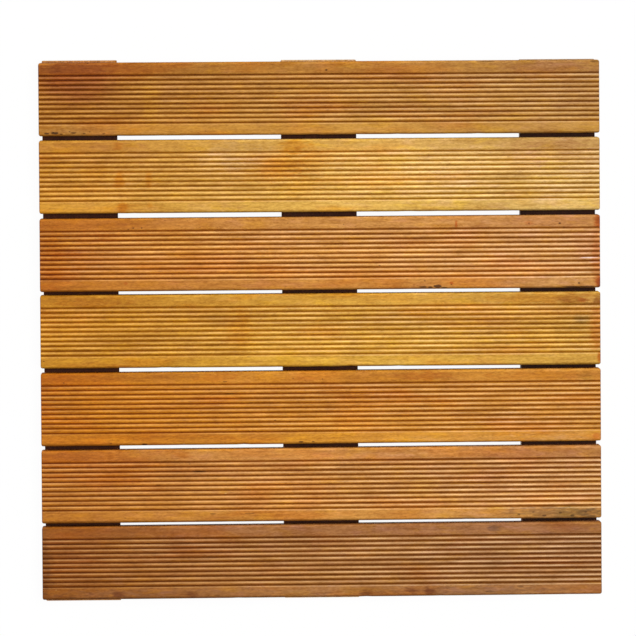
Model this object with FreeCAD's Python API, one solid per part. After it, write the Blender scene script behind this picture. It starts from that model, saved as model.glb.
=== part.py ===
"""Wooden deck tile: ribbed hardwood slats laid side by side and screwed to bearers from below.

All sizes are in millimetres. X runs along the slats, Y across them and Z up from the ground.
The origin is on the ground, under the middle of the tile. Slat 1 is the one furthest along +Y.
"""
import math
import os

import FreeCAD
from FreeCAD import Vector
import Part

# Slats: boards with a band of rounded ribs along the top and a flat land on each side of it
SLAT_COUNT = 7
SLAT_LENGTH = 500.0
SLAT_WIDTH = 65.25
SLAT_THICKNESS = 19.0
SLAT_GAP = 3.75
SLAT_TOP_ARRIS = 2.0
SLAT_BOTTOM_ARRIS = 1.0
SLAT_CORNER_RADIUS = 2.0
SLAT_END_BEVEL = 0.8

# Grooves between the ribs: the ribs are as high as the lands
GROOVE_COUNT = 11
GROOVE_PITCH = 4.25
GROOVE_DEPTH = 1.6
GROOVE_RADIUS = 0.6

# Bearers: plain boards across the slats, under both ends and the middle. They are cut to
# slightly different lengths, so their ends reach past the outer slats by different amounts
BEARER_WIDTH = 67.0
BEARER_THICKNESS = 19.0
BEARER_ARRIS = 1.0
BEARER_INSET = 3.0
BEARER_REACH_LEFT = 2.0
BEARER_REACH_MIDDLE = 1.2
BEARER_REACH_RIGHT = 0.3

# Screws: two where a slat crosses a bearer, staggered so that neither board splits
SCREW_DIAMETER = 3.5
SCREW_HEAD_DIAMETER = 7.0
SCREW_HEAD_RIM = 0.4
SCREW_HEAD_ANGLE = 90.0
SCREW_POINT = 3.5
SCREW_BITE = 11.0
SCREW_SPACING = 36.0
SCREW_STAGGER = 20.0

# Fits: how far a head lies below the bearer's underside, and the room round a shank
HEAD_SINK = 0.3
SHANK_CLEARANCE = 0.25

# Places that follow from the sizes
SLAT_PITCH = SLAT_WIDTH + SLAT_GAP
TILE_WIDTH = SLAT_COUNT * SLAT_PITCH - SLAT_GAP
OUTER_BEARER_X = SLAT_LENGTH / 2.0 - BEARER_INSET - BEARER_WIDTH / 2.0
BEARER_PLACES = {"left": -OUTER_BEARER_X, "middle": 0.0, "right": OUTER_BEARER_X}
BEARER_REACHES = {"left": BEARER_REACH_LEFT, "middle": BEARER_REACH_MIDDLE, "right": BEARER_REACH_RIGHT}
SLAT_PLACES = [((SLAT_COUNT - 1) / 2.0 - number) * SLAT_PITCH for number in range(SLAT_COUNT)]
SCREW_TIP_Z = BEARER_THICKNESS + SCREW_BITE
X_AXIS = Vector(1, 0, 0)
Y_AXIS = Vector(0, 1, 0)
Z_AXIS = Vector(0, 0, 1)


def arc(start, centre, radius, end):
    """Shorter arc from start to end about centre, with the radius given once for its middle point."""
    towards_middle = start + end - centre * 2.0
    towards_middle.normalize()
    return Part.Arc(start, centre + towards_middle * radius, end).toShape()


def line(start, end):
    return Part.LineSegment(start, end).toShape()


def rib_edges(top):
    """Edges of the ribbed band, from its -Y end to its +Y end, in the YZ plane.

    Rib and groove arcs are tangent to each other, so the two radii add up to a length that
    the pitch and the depth settle. The first and last half rib run out level into the lands.
    """
    both_radii = ((GROOVE_PITCH / 2.0) ** 2 + GROOVE_DEPTH ** 2) / (2.0 * GROOVE_DEPTH)
    rib_radius = both_radii - GROOVE_RADIUS
    rib_centre_z = top - rib_radius
    groove_centre_z = top - GROOVE_DEPTH + GROOVE_RADIUS
    first_groove_y = -(GROOVE_COUNT - 1) / 2.0 * GROOVE_PITCH

    edges = []
    crest = Vector(0, first_groove_y - GROOVE_PITCH / 2.0, top)
    for groove in range(GROOVE_COUNT):
        groove_centre = Vector(0, first_groove_y + groove * GROOVE_PITCH, groove_centre_z)
        rib_before = Vector(0, groove_centre.y - GROOVE_PITCH / 2.0, rib_centre_z)
        rib_after = Vector(0, groove_centre.y + GROOVE_PITCH / 2.0, rib_centre_z)
        into_groove = rib_before + (groove_centre - rib_before) * (rib_radius / both_radii)
        out_of_groove = rib_after + (groove_centre - rib_after) * (rib_radius / both_radii)
        next_crest = Vector(0, rib_after.y, top)
        edges.append(arc(crest, rib_before, rib_radius, into_groove))
        edges.append(arc(into_groove, groove_centre, GROOVE_RADIUS, out_of_groove))
        edges.append(arc(out_of_groove, rib_after, rib_radius, next_crest))
        crest = next_crest
    return edges


def slat_section():
    """Cross-section of a slat, with its underside at z = 0 and its middle at y = 0."""
    side = SLAT_WIDTH / 2.0
    top = SLAT_THICKNESS
    upper = SLAT_TOP_ARRIS
    lower = SLAT_BOTTOM_ARRIS
    band = rib_edges(top)
    band_end = GROOVE_COUNT / 2.0 * GROOVE_PITCH

    edges = [line(Vector(0, side - lower, 0), Vector(0, lower - side, 0))]
    edges.append(arc(Vector(0, lower - side, 0), Vector(0, lower - side, lower), lower,
                     Vector(0, -side, lower)))
    edges.append(line(Vector(0, -side, lower), Vector(0, -side, top - upper)))
    edges.append(arc(Vector(0, -side, top - upper), Vector(0, upper - side, top - upper), upper,
                     Vector(0, upper - side, top)))
    edges.append(line(Vector(0, upper - side, top), Vector(0, -band_end, top)))
    edges.extend(band)
    edges.append(line(Vector(0, band_end, top), Vector(0, side - upper, top)))
    edges.append(arc(Vector(0, side - upper, top), Vector(0, side - upper, top - upper), upper,
                     Vector(0, side, top - upper)))
    edges.append(line(Vector(0, side, top - upper), Vector(0, side, lower)))
    edges.append(arc(Vector(0, side, lower), Vector(0, side - lower, lower), lower,
                     Vector(0, side - lower, 0)))
    return Part.Face(Part.Wire(edges))


def screw():
    """Countersunk wood screw, point up, with its head just below the ground face of the bearer."""
    head_radius = SCREW_HEAD_DIAMETER / 2.0
    shank_radius = SCREW_DIAMETER / 2.0
    seat_height = (head_radius - shank_radius) / math.tan(math.radians(SCREW_HEAD_ANGLE / 2.0))
    seat_z = HEAD_SINK + SCREW_HEAD_RIM
    outline = [
        Vector(0, 0, HEAD_SINK),
        Vector(head_radius, 0, HEAD_SINK),
        Vector(head_radius, 0, seat_z),
        Vector(shank_radius, 0, seat_z + seat_height),
        Vector(shank_radius, 0, SCREW_TIP_Z - SCREW_POINT),
        Vector(0, 0, SCREW_TIP_Z),
        Vector(0, 0, HEAD_SINK),
    ]
    return Part.Face(Part.makePolygon(outline)).revolve(Vector(0, 0, 0), Z_AXIS, 360)


def screw_room():
    """What a screw takes out of a bearer: the seat of its head and a clear hole for its shank."""
    head_mouth = Part.makeCylinder(SCREW_HEAD_DIAMETER / 2.0, HEAD_SINK + SCREW_HEAD_RIM)
    clear_hole = Part.makeCylinder(SCREW_DIAMETER / 2.0 + SHANK_CLEARANCE, BEARER_THICKNESS)
    return screw().fuse([head_mouth, clear_hole])


def screw_places(bearer_x, slat_y):
    """The two screw axes where a slat crosses a bearer, seen on the ground."""
    offset = Vector(SCREW_STAGGER / 2.0, SCREW_SPACING / 2.0, 0)
    crossing = Vector(bearer_x, slat_y, 0)
    return [crossing - offset, crossing + offset]


def rounded_plan(length, width, height, corner_radius):
    """Upright block with rounded corners in plan, centred on the origin and standing on z = 0."""
    block = Part.makeBox(length, width, height, Vector(-length / 2.0, -width / 2.0, 0))
    corners = [edge for edge in block.Edges
               if abs(edge.tangentAt(edge.FirstParameter).dot(Z_AXIS)) > 0.5]
    return block.makeFillet(corner_radius, corners)


def end_bevel():
    """Wedge that eases the upper edge of the +X end of a slat, ribs and lands alike."""
    end = SLAT_LENGTH / 2.0
    side = SLAT_WIDTH / 2.0
    top = SLAT_THICKNESS
    outline = [
        Vector(end - SLAT_END_BEVEL, -side, top),
        Vector(end, -side, top - SLAT_END_BEVEL),
        Vector(end, -side, top),
        Vector(end - SLAT_END_BEVEL, -side, top),
    ]
    return Part.Face(Part.makePolygon(outline)).extrude(Y_AXIS * SLAT_WIDTH)


def slat_board():
    """Ribbed board, centred on the origin with its underside at z = 0."""
    board = slat_section().extrude(X_AXIS * SLAT_LENGTH)
    board.translate(Vector(-SLAT_LENGTH / 2.0, 0, 0))
    board = board.common(rounded_plan(SLAT_LENGTH, SLAT_WIDTH, SLAT_THICKNESS, SLAT_CORNER_RADIUS))
    right_bevel = end_bevel()
    left_bevel = end_bevel()
    left_bevel.rotate(Vector(0, 0, 0), Z_AXIS, 180)
    return board.cut([left_bevel, right_bevel])


def slat(slat_y):
    """Slat with the holes that the screw points have cut from below."""
    board = slat_board()
    board.translate(Vector(0, slat_y, BEARER_THICKNESS))
    points = []
    for bearer_x in BEARER_PLACES.values():
        for place in screw_places(bearer_x, slat_y):
            point = screw()
            point.translate(place)
            points.append(point)
    return board.cut(points)


def bearer(bearer_x, reach):
    """Bearer with every edge eased, countersunk from below for its screws."""
    length = TILE_WIDTH + 2.0 * reach
    board = Part.makeBox(BEARER_WIDTH, length, BEARER_THICKNESS)
    board = board.makeFillet(BEARER_ARRIS, board.Edges)
    board.translate(Vector(bearer_x - BEARER_WIDTH / 2.0, -length / 2.0, 0))
    rooms = []
    for slat_y in SLAT_PLACES:
        for place in screw_places(bearer_x, slat_y):
            room = screw_room()
            room.translate(place)
            rooms.append(room)
    return board.cut(rooms)


def screw_row(bearer_x):
    """All the screws of one bearer, as separate solids."""
    screws = []
    for slat_y in SLAT_PLACES:
        for place in screw_places(bearer_x, slat_y):
            one = screw()
            one.translate(place)
            screws.append(one)
    return Part.makeCompound(screws)


os.makedirs("parts", exist_ok=True)
for number, slat_place in enumerate(SLAT_PLACES, start=1):
    slat(slat_place).exportStep(f"parts/slat_{number}.step")
for side_name, bearer_place in BEARER_PLACES.items():
    bearer(bearer_place, BEARER_REACHES[side_name]).exportStep(f"parts/bearer_{side_name}.step")
    screw_row(bearer_place).exportStep(f"parts/screws_{side_name}.step")
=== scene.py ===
import math

import bmesh
import bpy
from mathutils import Euler, Matrix, Vector, noise


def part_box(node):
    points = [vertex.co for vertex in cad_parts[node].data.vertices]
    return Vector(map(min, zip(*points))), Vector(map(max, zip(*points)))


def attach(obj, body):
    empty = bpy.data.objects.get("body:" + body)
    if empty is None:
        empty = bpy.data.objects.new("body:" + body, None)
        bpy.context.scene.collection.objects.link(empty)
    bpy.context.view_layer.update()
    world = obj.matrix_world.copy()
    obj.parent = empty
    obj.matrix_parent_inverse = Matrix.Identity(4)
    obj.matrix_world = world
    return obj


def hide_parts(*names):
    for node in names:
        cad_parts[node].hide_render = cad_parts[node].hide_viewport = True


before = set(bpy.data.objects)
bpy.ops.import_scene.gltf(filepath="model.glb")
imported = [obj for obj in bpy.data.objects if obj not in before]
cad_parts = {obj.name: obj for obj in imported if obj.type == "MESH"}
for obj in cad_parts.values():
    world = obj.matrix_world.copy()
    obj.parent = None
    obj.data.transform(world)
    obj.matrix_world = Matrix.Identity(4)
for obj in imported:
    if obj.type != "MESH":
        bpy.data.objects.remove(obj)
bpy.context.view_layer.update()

mm = 0.001


# Bearers
# Three plain planed boards of the same hardwood that lie across the tile, under both ends and
# the middle of the slats. They are left unfinished, with their edges eased, and the screws go
# up through countersunk holes in their undersides.

def add(tree, kind, inputs=None, **settings):
    """New shader node. Each input is given by name or place, as a value or as the socket that feeds it."""
    new = tree.nodes.new(kind)
    for name, value in settings.items():
        setattr(new, name, value)
    for name, value in (inputs or {}).items():
        if isinstance(value, bpy.types.NodeSocket):
            tree.links.new(value, new.inputs[name])
        else:
            new.inputs[name].default_value = value
    return new


def maths(tree, operation, *values):
    return add(tree, "ShaderNodeMath", dict(enumerate(values)), operation=operation).outputs[0]


def vector_maths(tree, operation, *values, result="Vector"):
    return add(tree, "ShaderNodeVectorMath", dict(enumerate(values)), operation=operation).outputs[result]


def remap(tree, value, low, high, new_low=0.0, new_high=1.0):
    """value, taken from the range low to high to a new range, with soft ends."""
    return add(tree, "ShaderNodeMapRange",
               {"Value": value, "From Min": low, "From Max": high, "To Min": new_low, "To Max": new_high},
               interpolation_type="SMOOTHSTEP").outputs["Result"]


def lay_on(tree, kind, amount, base, top):
    """Colour base with colour top laid on it, in a way such as MIX or MULTIPLY."""
    return add(tree, "ShaderNodeMix", {0: amount, 6: base, 7: top},
               data_type="RGBA", blend_type=kind).outputs[2]


def new_group(name, inputs, outputs):
    """Empty node group, with the output sockets of its input node and its output node."""
    group = bpy.data.node_groups.new(name, "ShaderNodeTree")
    for in_out, sockets in (("INPUT", inputs), ("OUTPUT", outputs)):
        for socket_name, kind in sockets.items():
            group.interface.new_socket(socket_name, in_out=in_out, socket_type="NodeSocket" + kind)
    return group, group.nodes.new("NodeGroupInput").outputs, group.nodes.new("NodeGroupOutput")


def place_group(tree, group, **inputs):
    """The outputs of a node group placed in a material with its own values."""
    inputs = {name.replace("_", " ").capitalize(): value for name, value in inputs.items()}
    return add(tree, "ShaderNodeGroup", inputs, node_tree=group).outputs


def grain_noise(tree, place, along, across, detail, roughness=0.55):
    """Noise with so many features a metre along the grain (X) and across it."""
    stretched = vector_maths(tree, "MULTIPLY", place, (along, across, across))
    return add(tree, "ShaderNodeTexNoise",
               {"Vector": stretched, "Scale": 1.0, "Detail": detail, "Roughness": roughness}).outputs["Fac"]


def hardwood_grain():
    """Group: tropical hardwood of one tone, with X of Place along its grain, in metres.

    Bands and streaks run along the board, and mottle, speckle and patches of gold and pink break
    them up. Open pores show as short dark dashes, which turn into dots on end grain, and a few
    dark flecks are scattered over it.
    """
    group, given, out = new_group(
        "hardwood_grain", {"Place": "Vector", "Tone": "Color", "Figure": "Float", "Pores": "Float"},
        {"Colour": "Color", "Roughness": "Float", "Height": "Float"})
    place = given["Place"]

    bands = remap(group, grain_noise(group, place, 5, 42, 3), 0.3, 0.7)
    streaks = remap(group, grain_noise(group, place, 12, 330, 4, 0.6), 0.3, 0.7)
    mottle = remap(group, grain_noise(group, place, 70, 190, 3), 0.3, 0.7)
    fibres = grain_noise(group, place, 130, 3200, 3, 0.6)
    pores = remap(group, grain_noise(group, place, 330, 2900, 1, 0.4), 0.62, 0.7)
    blush = remap(group, grain_noise(group, place, 11, 48, 3), 0.48, 0.72)
    threads = remap(group, grain_noise(group, place, 55, 430, 4, 0.62), 0.3, 0.7)
    speckle = remap(group, grain_noise(group, place, 230, 700, 2, 0.6), 0.32, 0.68)
    golden_place = vector_maths(group, "ADD", place, (3, 5, 7))
    golden = remap(group, grain_noise(group, golden_place, 42, 130, 3), 0.5, 0.7)
    pinkish_place = vector_maths(group, "ADD", place, (7, 3, 5))
    pinkish = remap(group, grain_noise(group, pinkish_place, 48, 150, 3), 0.5, 0.7)

    shade = -0.78
    for pattern, weight in ((bands, 0.38), (streaks, 0.28), (mottle, 0.2), (threads, 0.36),
                            (speckle, 0.34)):
        shade = maths(group, "MULTIPLY_ADD", pattern, weight, shade)
    shade = maths(group, "MULTIPLY_ADD", shade, given["Figure"], 0.35)
    shade = maths(group, "MULTIPLY_ADD", fibres, 0.3, shade)
    shading = lay_on(group, "MIX", shade, (0.72, 0.64, 0.5, 1), (1.25, 1.34, 1.5, 1))
    colour = lay_on(group, "MULTIPLY", 1.0, given["Tone"], shading)
    colour = lay_on(group, "MULTIPLY", blush, colour, (1.01, 0.83, 0.55, 1))
    colour = lay_on(group, "MULTIPLY", golden, colour, (1.06, 1.06, 0.7, 1))
    colour = lay_on(group, "MULTIPLY", pinkish, colour, (1.04, 1.04, 1.4, 1))

    pore_mask = maths(group, "MULTIPLY", pores, given["Pores"])
    colour = lay_on(group, "MULTIPLY", pore_mask, colour, (0.5, 0.4, 0.3, 1))

    cells = add(group, "ShaderNodeTexVoronoi",
                {"Vector": vector_maths(group, "MULTIPLY", place, (85, 150, 150)), "Scale": 1.0})
    chance = add(group, "ShaderNodeSeparateColor", {0: cells.outputs["Color"]}).outputs[0]
    fleck = maths(group, "MULTIPLY", remap(group, cells.outputs["Distance"], 0.11, 0.05),
                  maths(group, "GREATER_THAN", chance, 0.975))
    colour = lay_on(group, "MULTIPLY", fleck, colour, (0.35, 0.3, 0.3, 1))

    group.links.new(colour, out.inputs["Colour"])
    group.links.new(remap(group, fibres, 0.2, 0.8, 0.62, 0.48), out.inputs["Roughness"])
    group.links.new(maths(group, "MULTIPLY_ADD", pore_mask, -0.5, fibres), out.inputs["Height"])
    return group


def new_material(name):
    material = bpy.data.materials.new(name)
    material.use_nodes = True
    material.node_tree.nodes.clear()
    return material


def finish_wood(tree, colour, roughness, height, relief):
    """Dry unvarnished wood: a faint broad sheen, with the relief of its fibres in metres."""
    bump = add(tree, "ShaderNodeBump", {"Height": height, "Strength": 1.0, "Distance": relief})
    wood = add(tree, "ShaderNodeBsdfPrincipled",
               {"Base Color": colour, "Roughness": roughness, "Normal": bump.outputs[0],
                "Specular IOR Level": 0.08})
    add(tree, "ShaderNodeOutputMaterial", {"Surface": wood.outputs[0]})


grain_group = hardwood_grain()
slat_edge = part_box("slat_1")[1][1]

# Painted shade on the bearers' upper faces between the slats, down in the narrow gaps
bearer_gap_shade = (0.12, 0.06, 0.022, 1)

# For each bearer: its tone and the tint of its end grain
bearer_looks = {
    "left": ((0.42, 0.16, 0.055, 1), (1.4, 1.7, 1.4, 1)),
    "middle": ((0.37, 0.14, 0.042, 1), (2.1, 3.4, 4.8, 1)),
    "right": ((0.26, 0.11, 0.045, 1), (1.9, 2.6, 2.8, 1)),
}

for number, (side_name, (tone, end_tint)) in enumerate(bearer_looks.items()):
    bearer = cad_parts["bearer_" + side_name]
    low, high = (Vector(corner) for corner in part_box("bearer_" + side_name))
    material = new_material("bearer_wood_" + side_name)
    tree = material.node_tree
    own_place = add(tree, "ShaderNodeTexCoord").outputs["Object"]
    # The grain runs along Y, and each bearer shows a stretch of its own
    turned = add(tree, "ShaderNodeMapping",
                 {"Vector": own_place, "Location": (2.3 * number, 0.4, 0.1),
                  "Rotation": (0, 0, math.pi / 2)}).outputs[0]
    wood = place_group(tree, grain_group, place=turned, tone=tone, figure=1.2, pores=0.7)
    parts = add(tree, "ShaderNodeSeparateXYZ", {0: own_place}).outputs
    along = maths(tree, "ABSOLUTE", parts["Y"])
    end_grain = remap(tree, along, high.y - 1.6 * mm, high.y - 0.6 * mm)
    colour = lay_on(tree, "MULTIPLY", end_grain, wood["Colour"], end_tint)
    # Painted shade: the bearers' upper faces under the slats are darkened where they show in the gaps
    in_gap_shade = maths(tree, "MULTIPLY", remap(tree, parts["Z"], high.z - 1.5 * mm, high.z - 0.5 * mm),
                  remap(tree, along, slat_edge - 0.5 * mm, slat_edge - 1.5 * mm))
    colour = lay_on(tree, "MULTIPLY", in_gap_shade, colour, bearer_gap_shade)
    finish_wood(tree, colour, wood["Roughness"], wood["Height"], 0.12 * mm)
    bearer.data.materials.clear()
    bearer.data.materials.append(material)


# Slats
# Seven boards of one golden to red-brown hardwood, moulded with eleven rounded grooves that
# leave ten ribs between two flat lands, and cross-cut with eased ends. Each board has its own
# tone and marks, and they lie a little unevenly, as screwed down by hand.

groove_count = 11
groove_pitch = 4.25 * mm
groove_depth = 1.6 * mm
groove_radius = 0.6 * mm
upper_arris = 2.0 * mm
lower_arris = 1.0 * mm
corner_radius = 2.0 * mm
end_bevel = 0.8 * mm

# Steps of the arcs of an outline, how far from each edge of a flat land the line runs that keeps
# it flat, and the distance between the cross-sections that carry the unevenness along a board
half_rib_steps = 5
groove_steps = 6
upper_arris_steps = 6
lower_arris_steps = 3
support_gap = 0.5 * mm
station_gap = 6.0 * mm

# Unevenness: how far the ribs wander, and how deep the dents in the long edges go down and in
rib_wander = 0.07 * mm
dent_depth = 0.9 * mm
dent_inset = 0.7 * mm

both_radii = ((groove_pitch / 2) ** 2 + groove_depth ** 2) / (2 * groove_depth)
rib_radius = both_radii - groove_radius
flank_angle = math.asin(groove_pitch / 2 / both_radii)
band = groove_count * groove_pitch / 2


def run(bm, tip, y, z):
    """Straight run of an outline in the YZ plane, from the vertex tip by y and z."""
    grown = bmesh.ops.extrude_vert_indiv(bm, verts=[tip])["verts"][0]
    grown.co += Vector((0, y, z))
    return grown


def turn(bm, tip, towards, radius, angle, steps):
    """Arc of an outline from the vertex tip. Its centre lies at the radius, in the direction towards."""
    centre = tip.co + Vector((0, *towards)) * radius
    spun = bmesh.ops.spin(bm, geom=[tip], cent=centre, axis=(1, 0, 0), angle=angle, steps=steps)
    return next(part for part in spun["geom_last"] if isinstance(part, bmesh.types.BMVert))


def draw_ribs(bm, tip):
    """Ribs and grooves from the land at +Y to the land at -Y: each arc runs on from the last."""
    to_groove = (-math.sin(flank_angle), math.cos(flank_angle))
    to_rib = (-math.sin(flank_angle), -math.cos(flank_angle))
    tip = turn(bm, tip, (0, -1), rib_radius, flank_angle, half_rib_steps)
    for groove in range(groove_count):
        halves = 1 if groove == groove_count - 1 else 2
        tip = turn(bm, tip, to_groove, groove_radius, -2 * flank_angle, groove_steps)
        tip = turn(bm, tip, to_rib, rib_radius, halves * flank_angle, halves * half_rib_steps)
    return tip


def draw_land(bm, tip, length):
    """Flat land towards -Y, with a support line beside each of its edges."""
    for step in (support_gap, length - 2 * support_gap, support_gap):
        tip = run(bm, tip, -step, 0)
    return tip


def slat_outline(bm, low, high):
    """Closed outline of a slat at its -X end, drawn anticlockwise as seen from +X."""
    width = high.y - low.y
    land = width / 2 - band - upper_arris
    tip = bm.verts.new((low.x, low.y + lower_arris, low.z))
    tip = run(bm, tip, width - 2 * lower_arris, 0)
    tip = turn(bm, tip, (0, 1), lower_arris, math.pi / 2, lower_arris_steps)
    tip = run(bm, tip, 0, high.z - low.z - lower_arris - upper_arris)
    tip = turn(bm, tip, (-1, 0), upper_arris, math.pi / 2, upper_arris_steps)
    tip = draw_land(bm, tip, land)
    tip = draw_ribs(bm, tip)
    tip = draw_land(bm, tip, land)
    tip = turn(bm, tip, (0, -1), upper_arris, math.pi / 2, upper_arris_steps)
    tip = run(bm, tip, 0, lower_arris + upper_arris + low.z - high.z)
    turn(bm, tip, (1, 0), lower_arris, math.pi / 2, lower_arris_steps)
    bmesh.ops.remove_doubles(bm, verts=bm.verts, dist=0.01 * mm)


def slat_stations(length):
    """Distances of the cross-sections from the -X end, close together where the ends are eased."""
    eased = [0.2 * mm, 0.5 * mm, end_bevel, 1.3 * mm, corner_radius]
    count = round(length / station_gap)
    inner = [length * place / count for place in range(1, count)]
    return eased + inner + [length - place for place in reversed(eased)] + [length]


def weather(bm, low, high, seed):
    """Slight unevenness that the moulding cutter and handling leave, always inward of the true form."""
    middle = (low.y + high.y) / 2
    side = (high.y - low.y) / 2
    for vert in bm.verts:
        across = vert.co.y - middle
        if high.z - vert.co.z > upper_arris + 0.1 * mm:
            continue
        if abs(across) < band:
            rib = round(across / groove_pitch * 2)
            vert.co.z -= rib_wander * (1 + noise.noise(Vector((vert.co.x * 26, rib * 0.9, seed))))
            vert.co.y += rib_wander * noise.noise(Vector((vert.co.x * 11, rib * 0.85, seed)))
        elif abs(across) > side - upper_arris:
            rough = noise.noise(Vector((vert.co.x * 95, seed * 3.1, math.copysign(5, across))))
            dent = max(0.0, rough - 0.28)
            vert.co.z -= dent_depth * dent
            vert.co.y -= math.copysign(dent_inset * dent, across)


def ease_ends(bm, low, high):
    """Rounds the upright corners and bevels the upper edge at both ends."""
    middle = (low.y + high.y) / 2
    side = (high.y - low.y) / 2
    for vert in bm.verts:
        from_end = min(vert.co.x - low.x, high.x - vert.co.x)
        vert.co.z = min(vert.co.z, high.z)
        if from_end < end_bevel:
            vert.co.z = min(vert.co.z, high.z - end_bevel + from_end)
        if from_end < corner_radius:
            inset = corner_radius - math.sqrt(corner_radius ** 2 - (corner_radius - from_end) ** 2)
            across = vert.co.y - middle
            vert.co.y = middle + max(inset - side, min(side - inset, across))


def mesh_of(bm, name):
    """The finished mesh of a bmesh, which is freed."""
    mesh = bpy.data.meshes.new(name)
    bm.to_mesh(mesh)
    bm.free()
    return mesh


def shade_smooth(mesh, sharp_degrees):
    """Smooth shading, apart from edges with a sharper angle."""
    mesh.polygons.foreach_set("use_smooth", [True] * len(mesh.polygons))
    mesh.set_sharp_from_angle(angle=math.radians(sharp_degrees))


def into_scene(name, data):
    """New object at the origin, in the scene."""
    new = bpy.data.objects.new(name, data)
    bpy.context.scene.collection.objects.link(new)
    return new


def slat_mesh(name, low, high, shift, slant, seed):
    """Ribbed board in its node's box, laid a little aside by shift and askew by slant."""
    bm = bmesh.new()
    slat_outline(bm, low, high)
    outline = bm.edges[:]
    bmesh.ops.contextual_create(bm, geom=outline)
    reached = 0.0
    for station in slat_stations(high.x - low.x):
        grown = bmesh.ops.extrude_edge_only(bm, edges=outline)["geom"]
        outline = [part for part in grown if isinstance(part, bmesh.types.BMEdge)]
        ring = [part for part in grown if isinstance(part, bmesh.types.BMVert)]
        bmesh.ops.translate(bm, verts=ring, vec=(station - reached, 0, 0))
        reached = station
    bmesh.ops.contextual_create(bm, geom=outline)
    weather(bm, low, high, seed)
    ease_ends(bm, low, high)
    askew = Matrix.Identity(4)
    askew[1][0] = slant
    askew[1][3] = shift
    bmesh.ops.transform(bm, matrix=askew, verts=bm.verts)
    bmesh.ops.remove_doubles(bm, verts=bm.verts, dist=0.002 * mm)
    bmesh.ops.recalc_face_normals(bm, faces=bm.faces)
    mesh = mesh_of(bm, name)
    shade_smooth(mesh, 40)
    return mesh


def stain():
    """Group: mask of a stain on a board, of the given reach about its centre, with a ragged edge.

    Core is the share of the reach that is stained in full.
    """
    group, given, out = new_group("stain", {"Place": "Vector", "Centre": "Vector", "Reach": "Vector",
                                            "Ragged": "Float", "Core": "Float"}, {"Mask": "Float"})
    from_centre = vector_maths(group, "SUBTRACT", given["Place"], given["Centre"])
    distance = vector_maths(group, "LENGTH", vector_maths(group, "DIVIDE", from_centre, given["Reach"]),
                            result="Value")
    rough = maths(group, "SUBTRACT", grain_noise(group, given["Place"], 110, 420, 3, 0.6), 0.5)
    edge = maths(group, "MULTIPLY_ADD", rough, given["Ragged"], distance)
    group.links.new(remap(group, edge, 1.15, given["Core"]), out.inputs["Mask"])
    return group


stain_group = stain()

# Tints of every board: painted shade towards its left end and a painted sheen towards its right end,
# painted shade towards its upper side and painted light towards its lower side, for the crests worn
# pale with a painted highlight at either end, painted shade in the grooves, a painted highlight on
# the upper edge, painted shade on the lower edge and on its sides down in the gaps, and its end grain
left_shade_tint = (0.82, 0.67, 0.4)
right_sheen_tint = (0.9, 0.93, 1.3, 1)
upper_shade_tint = (0.95, 0.94, 0.98, 1)
lower_light_tint = (1.05, 1.09, 1.05, 1)
crest_wear_and_highlight_left = (0.22, 0.14, 0.058)
crest_wear_and_highlight_right = (0.32, 0.25, 0.15)
groove_shade_tint = (0.4, 0.26, 0.02)
upper_edge_highlight = (1.4, 1.5, 1.7)
shaded_edge = (0.42, 0.4, 0.35, 1)
gap_side_shade = (0.4, 0.3, 0.25, 1)
end_grain_tint = (0.62, 0.54, 0.48, 1)

# The painted highlight on a rib lies a little off its crest, towards +Y where the light comes from,
# and the pale wear with it: how far, as an angle of its wave
highlight_side = 0.6

# Tints that a stain multiplies the wood by
soot = (0.2, 0.17, 0.17, 1)
umber = (0.6, 0.46, 0.4, 1)
oxblood = (0.78, 0.6, 0.72, 1)
amber = (0.9, 0.68, 0.27, 1)
rust = (0.82, 0.46, 0.22, 1)
golden_glow = (1.12, 1.14, 0.65, 1)
olive = (0.78, 0.86, 0.75, 1)
grey_dirt = (0.58, 0.6, 0.78, 1)
pale_film = (1.0, 1.06, 1.6, 1)
bleach = (1.12, 1.2, 1.5, 1)
scuff = (1.3, 1.9, 4.0, 1)

# A stain reaches this deep. Its core, and that of a speck, is the share that is stained in full.
stain_depth = 10 * mm
stain_core = 0.35
speck_core = 0.7
speck_raggedness = 1.4
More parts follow.
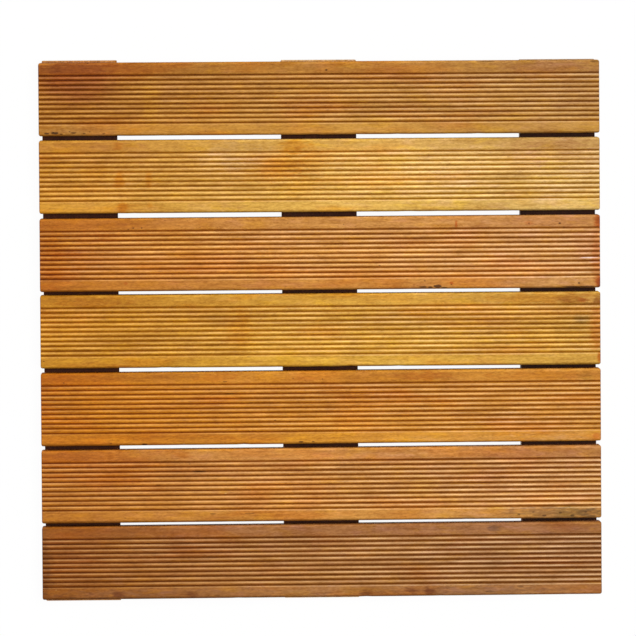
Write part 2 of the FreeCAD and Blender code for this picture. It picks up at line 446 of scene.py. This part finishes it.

# For each slat: its tone, how pale its crests are, worn and with a painted highlight, how strong the
# painted shade in its grooves is, how strong the painted shade towards its left end is, how strong the
# painted highlight on its upper edge is, how much painted shade darkens its upper and lower sides in
# the gaps, how far it lies aside in mm and askew in mrad, its stains, each with the tint, centre x and
# y, half length, half width (in mm), raggedness and strength, and its small dark specks, each with the
# centre x and y, half length, half width (in mm) and strength
slat_looks = {
    "slat_1": dict(
        tone=(0.515, 0.228, 0.0355, 1), crest_wear_and_highlight=1.15, groove_shading=1.05, left_shading=0.82, edge=1.0, gap_side_shading=(0.0, 1.0),
        aside=0.0, askew=-0.7,
        stains=[
            (oxblood, -216, 21, 46, 32, 0.8, 1.0), (bleach, -213, -27.5, 42, 6, 1.8, 1.0),
            (umber, -222, 28, 26, 6, 2.2, 0.35), (grey_dirt, -214, -29, 36, 4, 3.4, 0.2),
            (pale_film, -205, -27.5, 56, 6, 1.8, 0.95), (bleach, 40, -17, 30, 7, 2.2, 0.35),
            (umber, 0, 22, 250, 13, 3.0, 0.12), (amber, -200, 28, 60, 6, 2.0, 0.35),
            (pale_film, 205, 28, 50, 6, 2.0, 0.5), (bleach, -145, 0, 24, 22, 2.0, 0.45),
            (grey_dirt, -242, 24, 12, 12, 2.5, 0.35), (golden_glow, -150, -3, 11, 20, 1.8, 0.6),
            (oxblood, 205, 26, 40, 6, 3.0, 0.35)],
        specks=[
            (-243, -30.0, 2.2, 0.8, 0.9), (-235.5, -29.6, 3.2, 1.1, 1.0), (-230, -30.6, 1.6, 0.7, 0.8),
            (-222.5, -28.4, 0.9, 0.6, 0.7), (-219, -29.6, 2.6, 0.8, 0.8),
            (-209.5, -30.2, 1.4, 0.7, 0.7), (-204.5, -28.8, 0.8, 0.6, 0.6),
            (-192, -30.4, 1.6, 0.7, 0.6), (6.5, 24.9, 1.1, 0.8, 0.9), (148.6, 31.4, 8, 0.7, 0.6),
            (246, 31.0, 4, 0.9, 0.6)]),
    "slat_2": dict(
        tone=(0.712, 0.392, 0.0755, 1), crest_wear_and_highlight=1.5, groove_shading=0.82, left_shading=1.35, edge=1.0, gap_side_shading=(0.4, 1.0),
        aside=0.0, askew=-0.3,
        stains=[
            (amber, -179, 27, 5.5, 5, 1.6, 0.7), (amber, -179, -4, 6, 9, 1.8, 0.85),
            (amber, -176, -27.3, 6, 6, 1.3, 1.0), (amber, -152.7, -2.6, 4, 8, 1.6, 0.7),
            (amber, -151.4, -25.7, 3.5, 3, 1.4, 0.6), (amber, -200, 4, 14, 12, 2.4, 0.3),
            (pale_film, -73, 17, 38, 17, 1.6, 1.0), (amber, -22, 27, 17, 7, 1.7, 0.85),
            (amber, -34, 9, 24, 14, 1.9, 0.75), (amber, -16, -9, 22, 12, 2.6, 0.35),
            (bleach, 95, 0, 62, 24, 2.2, 0.45), (bleach, 212, -4, 34, 18, 2.2, 0.4),
            (oxblood, 216, 20, 34, 13, 2.2, 0.3), (oxblood, -200, 27, 60, 6, 2.0, 0.42),
            (amber, -8, 15, 17, 18, 2.2, 0.45), (oxblood, 182, 16, 22, 12, 2.2, 0.3),
            (bleach, 130, -16, 34, 11, 2.2, 0.35), (amber, -179, -27, 18, 6, 2.2, 0.3),
            (bleach, -190, -2, 60, 26, 2.0, 0.4), (oxblood, 205, 27, 50, 6, 2.0, 0.3),
            (bleach, 205, -27, 50, 6, 2.0, 0.5)],
        specks=[]),
    "slat_3": dict(
        tone=(0.61, 0.257, 0.045, 1), crest_wear_and_highlight=1.6, groove_shading=1.0, left_shading=1.55, edge=1.0, gap_side_shading=(1.0, 1.0),
        aside=-0.5, askew=0.5,
        stains=[
            (rust, -240, -6, 15, 34, 2.0, 0.3), (scuff, -160.3, -8.7, 1.0, 0.7, 0.5, 0.5),
            (rust, -173.6, -25.5, 2.2, 1.6, 1.2, 0.6), (bleach, -26, 0, 38, 24, 2.0, 0.5),
            (rust, 121.5, 25, 1.6, 4.4, 1.2, 0.9), (rust, 186.4, 25.8, 5.0, 2.2, 1.4, 0.45),
            (rust, 117, -27.5, 2.4, 1.7, 1.2, 0.9), (rust, 247, -4, 6, 26, 1.5, 0.55),
            (rust, 249, 27, 6, 8, 1.2, 1.0), (scuff, 241, -5.6, 9.5, 0.7, 0.8, 0.9),
            (scuff, 245, -9.6, 5.5, 0.7, 0.8, 0.8), (rust, 250, -27, 6, 9, 1.0, 1.0),
            (umber, 251, -30, 5, 9, 1.0, 1.0), (pale_film, 190, 0, 90, 40, 2.0, 0.15),
            (umber, 250, 29, 5, 6, 1.2, 0.6), (bleach, -190, 0, 60, 24, 2.0, 0.8),
            (bleach, 0, 27, 220, 6, 2.4, 0.9), (oxblood, 0, -27.5, 240, 6, 2.4, 0.25),
            (amber, -200, 27, 60, 6, 2.0, 0.3), (oxblood, 200, 27, 50, 6, 2.0, 0.3),
            (umber, -172, 27, 30, 6, 2.0, 0.35), (bleach, -78, 11, 44, 13, 2.2, 0.6),
            (bleach, -120, -15, 24, 8, 2.2, 0.35), (golden_glow, -150, 13, 90, 13, 2.2, 0.5),
            (golden_glow, -236, 0, 14, 26, 2.0, 0.6), (oxblood, 237, 4, 14, 18, 2.0, 0.35),
            (bleach, -130, 13, 70, 11, 2.2, 0.35), (oxblood, -40, -27, 34, 6, 2.2, 0.3),
            (bleach, 200, -27, 46, 6, 2.0, 0.9)],
        specks=[
            (-166.5, 23.8, 0.9, 0.7, 0.8), (-159, 23.8, 0.8, 0.7, 0.8), (-107, 23.8, 0.8, 0.6, 0.5),
            (-28.7, 27.3, 0.7, 0.6, 0.5), (21, 25.6, 0.7, 0.6, 0.5), (91, -30.6, 4.0, 0.9, 0.9),
            (98, -31.0, 2.4, 0.8, 0.9), (104.5, -30.2, 3.6, 1.3, 1.0), (110.5, -31.4, 2.8, 0.8, 0.8),
            (93, -25.2, 0.9, 0.7, 0.5), (116.8, -28.6, 0.7, 0.6, 0.8), (186.5, 25.3, 0.8, 0.6, 0.7),
            (214, 25.2, 1.2, 0.8, 0.9), (217.5, 21.7, 0.8, 0.6, 0.6), (230.9, -28.3, 1.0, 0.8, 0.8),
            (230, -31.6, 17, 0.9, 0.9)]),
    "slat_4": dict(
        tone=(0.66, 0.33, 0.036, 1), crest_wear_and_highlight=1.45, groove_shading=0.76, left_shading=1.0, edge=1.0, gap_side_shading=(0.0, 1.0),
        aside=0.0, askew=-0.4,
        stains=[
            (oxblood, 225, 0, 60, 42, 1.5, 0.15), (amber, 190, 0, 90, 42, 1.8, 0.2),
            (golden_glow, 208, -2, 40, 24, 2.0, 0.45), (bleach, 70, -27.5, 80, 6, 2.4, 0.65),
            (bleach, -20, 27, 150, 6, 2.4, 0.4), (amber, -205, 26, 40, 5, 3.0, 0.5),
            (amber, -73, 2, 13, 24, 2.2, 0.5), (umber, 218.4, 25.5, 7, 4, 2.4, 0.5),
            (rust, 233.4, 24.5, 4.5, 3.2, 1.4, 0.7), (umber, 248, 26, 6, 6, 2.0, 0.8),
            (grey_dirt, 233, 8, 7, 4.5, 2.4, 0.7), (grey_dirt, 226, 2, 20, 20, 3.0, 0.2),
            (rust, 247, -2, 8, 22, 1.8, 0.6), (umber, 228, 27, 22, 6, 2.0, 0.45),
            (rust, 249.5, -26, 3.2, 7, 1.3, 0.95), (scuff, 248, 3.2, 3, 0.7, 0.8, 0.4),
            (scuff, 247.5, -5.3, 3, 0.7, 0.8, 0.4), (amber, 200, 27, 60, 6, 2.0, 0.6),
            (bleach, 200, -27, 50, 6, 2.0, 0.6)],
        specks=[]),
    "slat_5": dict(
        tone=(0.609, 0.238, 0.0218, 1), crest_wear_and_highlight=1.12, groove_shading=0.97, left_shading=1.15, edge=1.0, gap_side_shading=(0.7, 1.0),
        aside=0.05, askew=1.6,
        stains=[
            (amber, 30, -5, 26, 20, 2.0, 0.45), (pale_film, 136, -28.9, 108, 3.2, 2.6, 1.0),
            (olive, 237, 25.5, 9, 5, 2.2, 0.8), (rust, 245.5, -28, 4.5, 4, 1.6, 0.6),
            (golden_glow, -190, -28, 30, 4, 2.6, 0.3), (golden_glow, -190, 0, 90, 42, 1.8, 0.4),
            (rust, -95, 27, 22, 4.5, 2.6, 0.3), (rust, 92, 27, 26, 4.5, 2.6, 0.35),
            (bleach, -5, 27, 30, 6, 2.4, 0.5), (amber, 200, 27, 60, 6, 2.0, 0.5),
            (amber, 40, 27, 120, 6, 2.4, 0.25), (pale_film, 210, -28, 50, 5, 2.0, 0.9),
            (bleach, 184, -15, 34, 12, 2.2, 0.5), (bleach, 34, 0, 30, 10, 2.2, 0.5),
            (bleach, 77, 13, 30, 9, 2.2, 0.35)],
        specks=[
            (-187.9, -30.8, 1.3, 0.6, 0.6), (-157.8, -31.9, 2.3, 0.7, 1.0), (-69, -31.7, 1.0, 0.5, 0.5),
            (-86, 23.6, 2.2, 0.7, 0.6), (-81.3, 12.6, 5, 0.7, 0.6), (-25, 26, 0.8, 0.6, 0.4),
            (1.3, 25.3, 0.8, 0.6, 0.7), (-18.3, -30.8, 2.4, 0.7, 0.9), (-7.4, -30.7, 1.3, 0.6, 0.8)]),
    "slat_6": dict(
        tone=(0.558, 0.23, 0.0418, 1), crest_wear_and_highlight=1.55, groove_shading=1.05, left_shading=1.05, edge=1.3, gap_side_shading=(0.0, 1.0),
        aside=0.1, askew=2.0,
        stains=[
            (umber, -225, 27, 26, 5, 3.0, 0.3), (amber, -124, 26.8, 9, 3.5, 2.0, 0.7),
            (scuff, -86, -7.3, 1.2, 0.7, 0.5, 0.6), (golden_glow, -88, -6, 5, 3, 1.2, 0.8),
            (golden_glow, 92, -1, 16, 9, 2.0, 0.45), (golden_glow, 158, -22.5, 10, 3, 1.8, 0.9),
            (grey_dirt, 207, -27.5, 48, 6, 3.4, 0.8), (olive, 228, -27, 26, 8, 2.0, 0.7),
            (grey_dirt, 238, -28, 12, 5, 2.4, 0.6), (oxblood, 190, 27, 60, 7, 2.4, 0.35),
            (grey_dirt, 125, -31.4, 26, 1.4, 3.0, 0.8), (bleach, 138, 27, 70, 6, 2.2, 0.95),
            (bleach, -60, 27, 190, 6, 2.4, 0.7), (bleach, -205, 27, 34, 6, 2.2, 0.5),
            (amber, 13, 27, 20, 6, 2.2, 0.3), (bleach, 130, 0, 46, 11, 2.2, 0.4),
            (bleach, -8, -27, 36, 6, 2.2, 0.65)],
        specks=[
            (176, -28.5, 1.6, 0.8, 0.6), (189, -26.4, 1.2, 0.7, 0.5), (199, -29.6, 2.2, 0.8, 0.6),
            (213, -27.2, 1.4, 0.8, 0.6), (224, -29.8, 2.0, 0.9, 0.7), (236, -26.8, 1.5, 0.8, 0.6),
            (-109, 12.1, 6.2, 0.7, 0.7), (-146.2, 0.5, 2.6, 0.6, 0.5), (-97.6, -25.6, 2.4, 0.6, 0.6),
            (-175.7, -28.7, 1.2, 0.5, 0.4), (-64.5, -25.5, 4.8, 0.6, 0.45)]),
    "slat_7": dict(
        tone=(0.376, 0.145, 0.0315, 1), crest_wear_and_highlight=1.4, groove_shading=0.92, left_shading=1.3, edge=1.3, gap_side_shading=(0.0, 0.0),
        aside=0.75, askew=2.0,
        stains=[
            (grey_dirt, 154.7, 27.9, 7, 3.6, 2.0, 0.9), (grey_dirt, -120, -29, 130, 5, 3.2, 0.45),
            (pale_film, -200, -28.5, 60, 5, 2.4, 1.0), (oxblood, -225, 0, 34, 26, 2.0, 0.2),
            (grey_dirt, 130, -28.5, 90, 4.5, 3.2, 0.5), (umber, -182, -29, 7.5, 3.4, 2.0, 0.9),
            (umber, -116.4, -28.9, 6.5, 3.0, 2.0, 0.8), (umber, 39, -28.7, 7, 3.2, 2.2, 0.7),
            (umber, 79, -27.6, 6.5, 3.6, 2.2, 0.8), (umber, 96.2, -28.5, 6, 3.4, 2.0, 1.0),
            (pale_film, -182, -17.5, 7, 6, 1.8, 0.45), (grey_dirt, -248, -4, 7, 32, 2.0, 0.6),
            (scuff, -238, -24.4, 0.9, 0.7, 0.5, 0.8), (bleach, -88, 27, 84, 6, 2.2, 1.0),
            (bleach, 2, -27.5, 34, 6, 2.2, 0.8), (bleach, 60, 27, 120, 6, 2.4, 0.4),
            (pale_film, 0, 27, 250, 6, 2.4, 0.3), (pale_film, -20, -27.5, 220, 6, 2.4, 0.4),
            (bleach, -125, 12, 56, 13, 2.2, 0.5)],
        specks=[
            (177, -24.6, 3.2, 1.0, 0.5), (-95, -30.5, 3.4, 0.7, 0.4), (150, -29, 5, 0.8, 0.4)]),
}


def deepened(tint, exponent):
    """A tint made stronger or weaker by an exponent, as a colour."""
    return [part ** exponent for part in tint] + [1]


def scaled(tint, factor):
    """A tint times a factor, as a colour."""
    return [part * factor for part in tint] + [1]


for number, (name, looks) in enumerate(slat_looks.items(), start=1):
    low, high = (Vector(corner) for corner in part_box(name))
    aside = looks["aside"] * mm
    mesh = slat_mesh("ribbed_" + name, low, high, aside, looks["askew"] / 1000, number * 7.3)
    slat = into_scene("ribbed_" + name, mesh)

    material = new_material("wood_of_" + name)
    tree = material.node_tree
    own_place = add(tree, "ShaderNodeTexCoord").outputs["Object"]
    on_slat = add(tree, "ShaderNodeMapping",
                  {"Vector": own_place, "Location": (0, -(low.y + high.y) / 2 - aside, -high.z)}).outputs[0]
    shifted = vector_maths(tree, "ADD", on_slat, (1.9 * number, 0.37 * number, 0.05))
    wood = place_group(tree, grain_group, place=shifted, tone=looks["tone"], figure=1.15, pores=0.6)
    parts = add(tree, "ShaderNodeSeparateXYZ", {0: on_slat}).outputs
    side = (high.y - low.y) / 2

    # Painted shade towards the left end and a painted sheen towards the right end, and painted shade
    # towards the upper side and painted light towards the lower side of the board
    near_left = remap(tree, parts["X"], 30 * mm, -270 * mm)
    colour = lay_on(tree, "MULTIPLY", near_left, wood["Colour"], deepened(left_shade_tint, looks["left_shading"]))
    near_right = remap(tree, parts["X"], -30 * mm, 270 * mm)
    colour = lay_on(tree, "MULTIPLY", near_right, colour, right_sheen_tint)
    to_lower = remap(tree, parts["Y"], side, -side)
    across = lay_on(tree, "MIX", to_lower, upper_shade_tint, lower_light_tint)
    colour = lay_on(tree, "MULTIPLY", 1.0, colour, across)

    # Crests worn pale in patches, with a painted highlight on their upper flanks, and painted shade in
    # the grooves
    from_middle = maths(tree, "ABSOLUTE", parts["Y"])
    on_top = remap(tree, parts["Z"], -3.0 * mm, -2.0 * mm)
    in_band = maths(tree, "MULTIPLY", on_top, remap(tree, from_middle, band + 0.2 * mm, band - 0.8 * mm))
    patchy = remap(tree, grain_noise(tree, shifted, 25, 120, 3), 0.3, 0.7, 0.35, 1.0)
    # The painted highlight is shifted off the crest towards +Y, the side the light comes from
    phase = maths(tree, "MULTIPLY_ADD", parts["Y"], math.tau / groove_pitch, math.pi - highlight_side)
    crest = maths(tree, "MULTIPLY", in_band, remap(tree, maths(tree, "COSINE", phase), 0.1, 1.0))
    to_right = remap(tree, parts["X"], low.x, high.x)
    fibres = lay_on(tree, "MIX", to_right, scaled(crest_wear_and_highlight_left, looks["crest_wear_and_highlight"]),
                    scaled(crest_wear_and_highlight_right, looks["crest_wear_and_highlight"]))
    colour = lay_on(tree, "ADD", maths(tree, "MULTIPLY", crest, patchy), colour, fibres)
    # Painted shade deep in the grooves, where little light reaches
    groove_shade_mask = maths(tree, "MULTIPLY", on_top, remap(tree, parts["Z"], -1.05 * mm, -1.4 * mm))
    groove_shade_mask = maths(tree, "MULTIPLY", groove_shade_mask, remap(tree, from_middle, band + 0.5 * mm, band))
    colour = lay_on(tree, "MULTIPLY", groove_shade_mask, colour, deepened(groove_shade_tint, looks["groove_shading"]))

    # Painted highlight on the upper edge, painted shade on the lower edge, and painted shade on the sides
    # down in the gaps
    # Painted highlight along the upper edge, which faces the light
    upper_edge = maths(tree, "MULTIPLY", patchy, remap(tree, parts["Y"], side - 2.5 * mm, side - 1.2 * mm))
    colour = lay_on(tree, "MULTIPLY", upper_edge, colour, deepened(upper_edge_highlight, looks["edge"]))
    lower_edge = maths(tree, "MULTIPLY", on_top, remap(tree, parts["Y"], 2.6 * mm - side, 0.3 * mm - side))
    colour = lay_on(tree, "MULTIPLY", lower_edge, colour, shaded_edge)
    # Painted shade on the sides of a board deep down in the gaps, where little light reaches
    in_gap = remap(tree, parts["Z"], -5 * mm, -10 * mm)
    for way, amount in zip((1, -1), looks["gap_side_shading"]):
        on_side = remap(tree, parts["Y"], way * (side - 0.3 * mm), way * (side - 0.1 * mm), 0.0, amount)
        in_gap_shade = maths(tree, "MULTIPLY", in_gap, on_side)
        colour = lay_on(tree, "MULTIPLY", in_gap_shade, colour, gap_side_shade)

    # Stains, and specks, which are small stains of soot with a firm core
    blots = [(*stained, stain_core) for stained in looks["stains"]]
    blots += [(soot, *reach, speck_raggedness, strength, speck_core)
              for *reach, strength in looks["specks"]]
    for tint, x, y, half_length, half_width, ragged, strength, core in blots:
        mask = place_group(tree, stain_group, place=on_slat, centre=(x * mm, y * mm, 0), ragged=ragged,
                           reach=(half_length * mm, half_width * mm, stain_depth), core=core)["Mask"]
        colour = lay_on(tree, "MULTIPLY", maths(tree, "MULTIPLY", mask, strength), colour, tint)

    end_grain = remap(tree, maths(tree, "ABSOLUTE", parts["X"]), high.x - 0.6 * mm, high.x - 0.1 * mm)
    colour = lay_on(tree, "MULTIPLY", end_grain, colour, end_grain_tint)
    finish_wood(tree, colour, wood["Roughness"], wood["Height"], 0.1 * mm)
    slat.data.materials.append(material)

    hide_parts(name)
    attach(slat, "root")


# Screws
# Countersunk stainless wood screws with a cross recess, driven up through the bearers from
# below, two where a slat crosses a bearer. Their threads start above the smooth shank.

head_radius = 3.45 * mm
head_rim = 0.4 * mm
shank_radius = 1.6 * mm
core_radius = 1.15 * mm
thread_radius = 1.75 * mm
thread_pitch = 1.75 * mm
thread_half_root = 0.45 * mm
thread_start = 11.5 * mm
thread_run_out = 2.0 * mm
shank_taper = 1.2 * mm
point_length = 3.5 * mm
recess_reach = 2.1 * mm
recess_width = 0.85 * mm
recess_depth = 1.7 * mm
recess_taper = 0.5
screw_spacing = 36 * mm
screw_stagger = 20 * mm
head_segments = 28
steps_in_turn = 14


def drive_recess(bm):
    """Cuts the head's flat face along the sides of a cross and sinks the cross, tapering inwards."""
    for reach in (recess_reach, recess_width / 2):
        for side in (Vector((1, 0, 0)), Vector((0, 1, 0))):
            for place in (side * reach, -side * reach):
                bmesh.ops.bisect_plane(bm, geom=bm.faces[:] + bm.edges[:] + bm.verts[:],
                                       plane_co=place, plane_no=side)
    cross = []
    for face in bm.faces:
        near, far = sorted(abs(part) for part in face.calc_center_median().xy)
        if near < recess_width / 2 and far < recess_reach:
            cross.append(face)
    sunk = bmesh.ops.extrude_face_region(bm, geom=cross)["geom"]
    bmesh.ops.delete(bm, geom=cross, context="FACES_ONLY")
    floor_verts = [part for part in sunk if isinstance(part, bmesh.types.BMVert)]
    bmesh.ops.scale(bm, verts=floor_verts, vec=(recess_taper, recess_taper, 1))
    bmesh.ops.translate(bm, verts=floor_verts, vec=(0, 0, recess_depth))


def screw_thread(bm, start, end):
    """Three-sided thread wound round the core from start to end, running out at both ends."""
    root = [bm.verts.new((core_radius * 0.9, 0, start + lift))
            for lift in (-thread_half_root, thread_half_root)]
    crest = bm.verts.new((thread_radius, 0, start))
    section = [bm.edges.new(pair) for pair in ((root[0], crest), (crest, root[1]), (root[1], root[0]))]
    turns = (end - start) / thread_pitch
    bmesh.ops.contextual_create(bm, geom=section)
    spun = bmesh.ops.spin(bm, geom=section, cent=(0, 0, 0), axis=(0, 0, 1),
                          dvec=(0, 0, thread_pitch / steps_in_turn), angle=math.tau * turns,
                          steps=round(turns * steps_in_turn))["geom_last"]
    bmesh.ops.contextual_create(bm, geom=[part for part in spun if isinstance(part, bmesh.types.BMEdge)])


def screw_mesh(sink, tip_z):
    """One screw on the Z axis, from its head at z = sink up to its point at tip_z."""
    bm = bmesh.new()
    bmesh.ops.create_circle(bm, cap_ends=True, radius=head_radius, segments=head_segments)
    drive_recess(bm)
    boundary = [edge for edge in bm.edges if edge.is_boundary]
    neck_z = head_rim + head_radius - shank_radius
    tip = tip_z - sink
    # Radius and height of each ring, from the rim of the head to the point
    rings = ((head_radius, head_rim), (shank_radius, neck_z), (shank_radius, thread_start - shank_taper),
             (core_radius, thread_start), (core_radius, tip - point_length), (0.45 * mm, tip - 1.0 * mm),
             (0.05 * mm, tip))
    reached_radius, reached_z = head_radius, 0.0
    for radius, z in rings:
        grown = bmesh.ops.extrude_edge_only(bm, edges=boundary)["geom"]
        boundary = [part for part in grown if isinstance(part, bmesh.types.BMEdge)]
        ring = [part for part in grown if isinstance(part, bmesh.types.BMVert)]
        bmesh.ops.scale(bm, verts=ring, vec=(radius / reached_radius, radius / reached_radius, 1))
        bmesh.ops.translate(bm, verts=ring, vec=(0, 0, z - reached_z))
        reached_radius, reached_z = radius, z
    bmesh.ops.contextual_create(bm, geom=boundary)
    body_verts = set(bm.verts)
    screw_thread(bm, thread_start, tip - 0.6 * mm)
    for vert in set(bm.verts) - body_verts:
        at_point = max(0.12, (tip - vert.co.z) / point_length)
        at_shank = max(0.6, (vert.co.z - thread_start) / thread_run_out)
        shrunk = min(1.0, at_point, at_shank)
        vert.co.x *= shrunk
        vert.co.y *= shrunk
    bmesh.ops.translate(bm, verts=bm.verts, vec=(0, 0, sink))
    bmesh.ops.recalc_face_normals(bm, faces=bm.faces)
    return mesh_of(bm, "one_screw")


screw_steel = new_material("screw_steel")
tree = screw_steel.node_tree
own_place = add(tree, "ShaderNodeTexCoord").outputs["Object"]
smudges = add(tree, "ShaderNodeTexNoise",
              {"Vector": own_place, "Scale": 700.0, "Detail": 3.0}).outputs["Fac"]
brushing = grain_noise(tree, own_place, 900, 6000, 2)
colour = lay_on(tree, "MIX", smudges, (0.42, 0.4, 0.36, 1), (0.62, 0.6, 0.55, 1))
bump = add(tree, "ShaderNodeBump", {"Height": brushing, "Strength": 1.0, "Distance": 0.01 * mm})
steel = add(tree, "ShaderNodeBsdfPrincipled",
            {"Base Color": colour, "Metallic": 1.0, "Roughness": remap(tree, smudges, 0.3, 0.7, 0.3, 0.5),
             "Normal": bump.outputs[0]})
add(tree, "ShaderNodeOutputMaterial", {"Surface": steel.outputs[0]})

for side_name in bearer_looks:
    low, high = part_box("screws_" + side_name)
    bearer_low, bearer_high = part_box("bearer_" + side_name)
    bearer_x = (bearer_low[0] + bearer_high[0]) / 2
    one_screw = screw_mesh(low[2], high[2])
    bm = bmesh.new()
    for number, name in enumerate(slat_looks):
        slat_low, slat_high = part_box(name)
        slat_y = (slat_low[1] + slat_high[1]) / 2
        for way in (-1, 1):
            before = set(bm.verts)
            bm.from_mesh(one_screw)
            added = [vert for vert in bm.verts if vert not in before]
            place = Vector((bearer_x + way * screw_stagger / 2, slat_y + way * screw_spacing / 2, 0))
            # Each screw has stopped at an angle of its own
            driven = Matrix.Translation(place) @ Matrix.Rotation(1.9 * number + 0.8 * way, 4, "Z")
            bmesh.ops.transform(bm, matrix=driven, verts=added)
    mesh = mesh_of(bm, "threaded_screws_" + side_name)
    shade_smooth(mesh, 35)
    mesh.materials.append(screw_steel)
    screws = into_scene("threaded_screws_" + side_name, mesh)
    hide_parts("screws_" + side_name)
    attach(screws, "root")


# Floor
# A plain white floor under the tile. Seen by the camera it is almost pure white, and keeps a
# faint shadow of the tile.

def shown_itself(tree):
    """1 for the rays that show a surface: straight from the camera, in metal or through glass."""
    ray = add(tree, "ShaderNodeLightPath").outputs
    return maths(tree, "MAXIMUM", ray["Is Camera Ray"],
                 maths(tree, "MAXIMUM", ray["Is Glossy Ray"], ray["Is Transmission Ray"]))


bm = bmesh.new()
bmesh.ops.create_grid(bm, x_segments=1, y_segments=1, size=4.0)
floor = into_scene("floor", mesh_of(bm, "floor"))

floor_material = new_material("white_floor")
tree = floor_material.node_tree
painted = add(tree, "ShaderNodeBsdfDiffuse", {"Color": (0.85, 0.85, 0.85, 1)})
glowing = add(tree, "ShaderNodeEmission", {"Color": (1, 1, 1, 1), "Strength": 1.01})
floor_glow = maths(tree, "MULTIPLY", shown_itself(tree), 0.95)
floor_surface = add(tree, "ShaderNodeMixShader",
                    {0: floor_glow, 1: painted.outputs[0], 2: glowing.outputs[0]})
add(tree, "ShaderNodeOutputMaterial", {"Surface": floor_surface.outputs[0]})
floor.data.materials.append(floor_material)


# Light
# One large soft lamp high above, a little towards the tile's upper right corner, so that the ribs
# are bright and their grooves lie in shade, and an even pale surround.

key_lamp = into_scene("key_lamp", bpy.data.lights.new("key_lamp", "AREA"))
key_lamp.data.shape = "DISK"
key_lamp.data.size = 2.8
key_lamp.data.energy = 366
key_lamp.location = (0.7, 0.6, 6.95)
key_lamp.rotation_euler = (-key_lamp.location).to_track_quat("-Z", "Y").to_euler()

world = bpy.data.worlds.new("pale_surround")
bpy.context.scene.world = world
world.use_nodes = True
tree = world.node_tree
tree.nodes.clear()
strength = add(tree, "ShaderNodeMapRange",
               {"Value": shown_itself(tree), "To Min": 0.3, "To Max": 1.0}).outputs["Result"]
sky = add(tree, "ShaderNodeBackground", {"Color": (1, 1, 1, 1), "Strength": strength})
add(tree, "ShaderNodeOutputWorld", {"Surface": sky.outputs[0]})
bpy.context.scene.view_settings.view_transform = "Standard"


# Camera
# Far above the tile with a long lens, a little off the upright towards its upper and left edges,
# so that its outline narrows slightly from the upper to the lower edge.

camera_distance = 6.0
camera_lean_up = math.radians(2.5)
camera_lean_left = math.radians(1.6)
camera_roll = math.radians(0.391)
camera_aim = Vector((-2.4 * mm, 10.8 * mm, 38 * mm))

camera = into_scene("camera", bpy.data.cameras.new("camera"))
camera.data.sensor_width = 36
camera.data.lens = 380.7
camera.rotation_mode = "ZXY"
camera.rotation_euler = Euler((-camera_lean_up, -camera_lean_left, -camera_roll), "ZXY")
camera.location = camera_aim + camera.rotation_euler.to_matrix() @ Vector((0, 0, camera_distance))
camera.data.clip_end = 50
bpy.context.scene.camera = camera
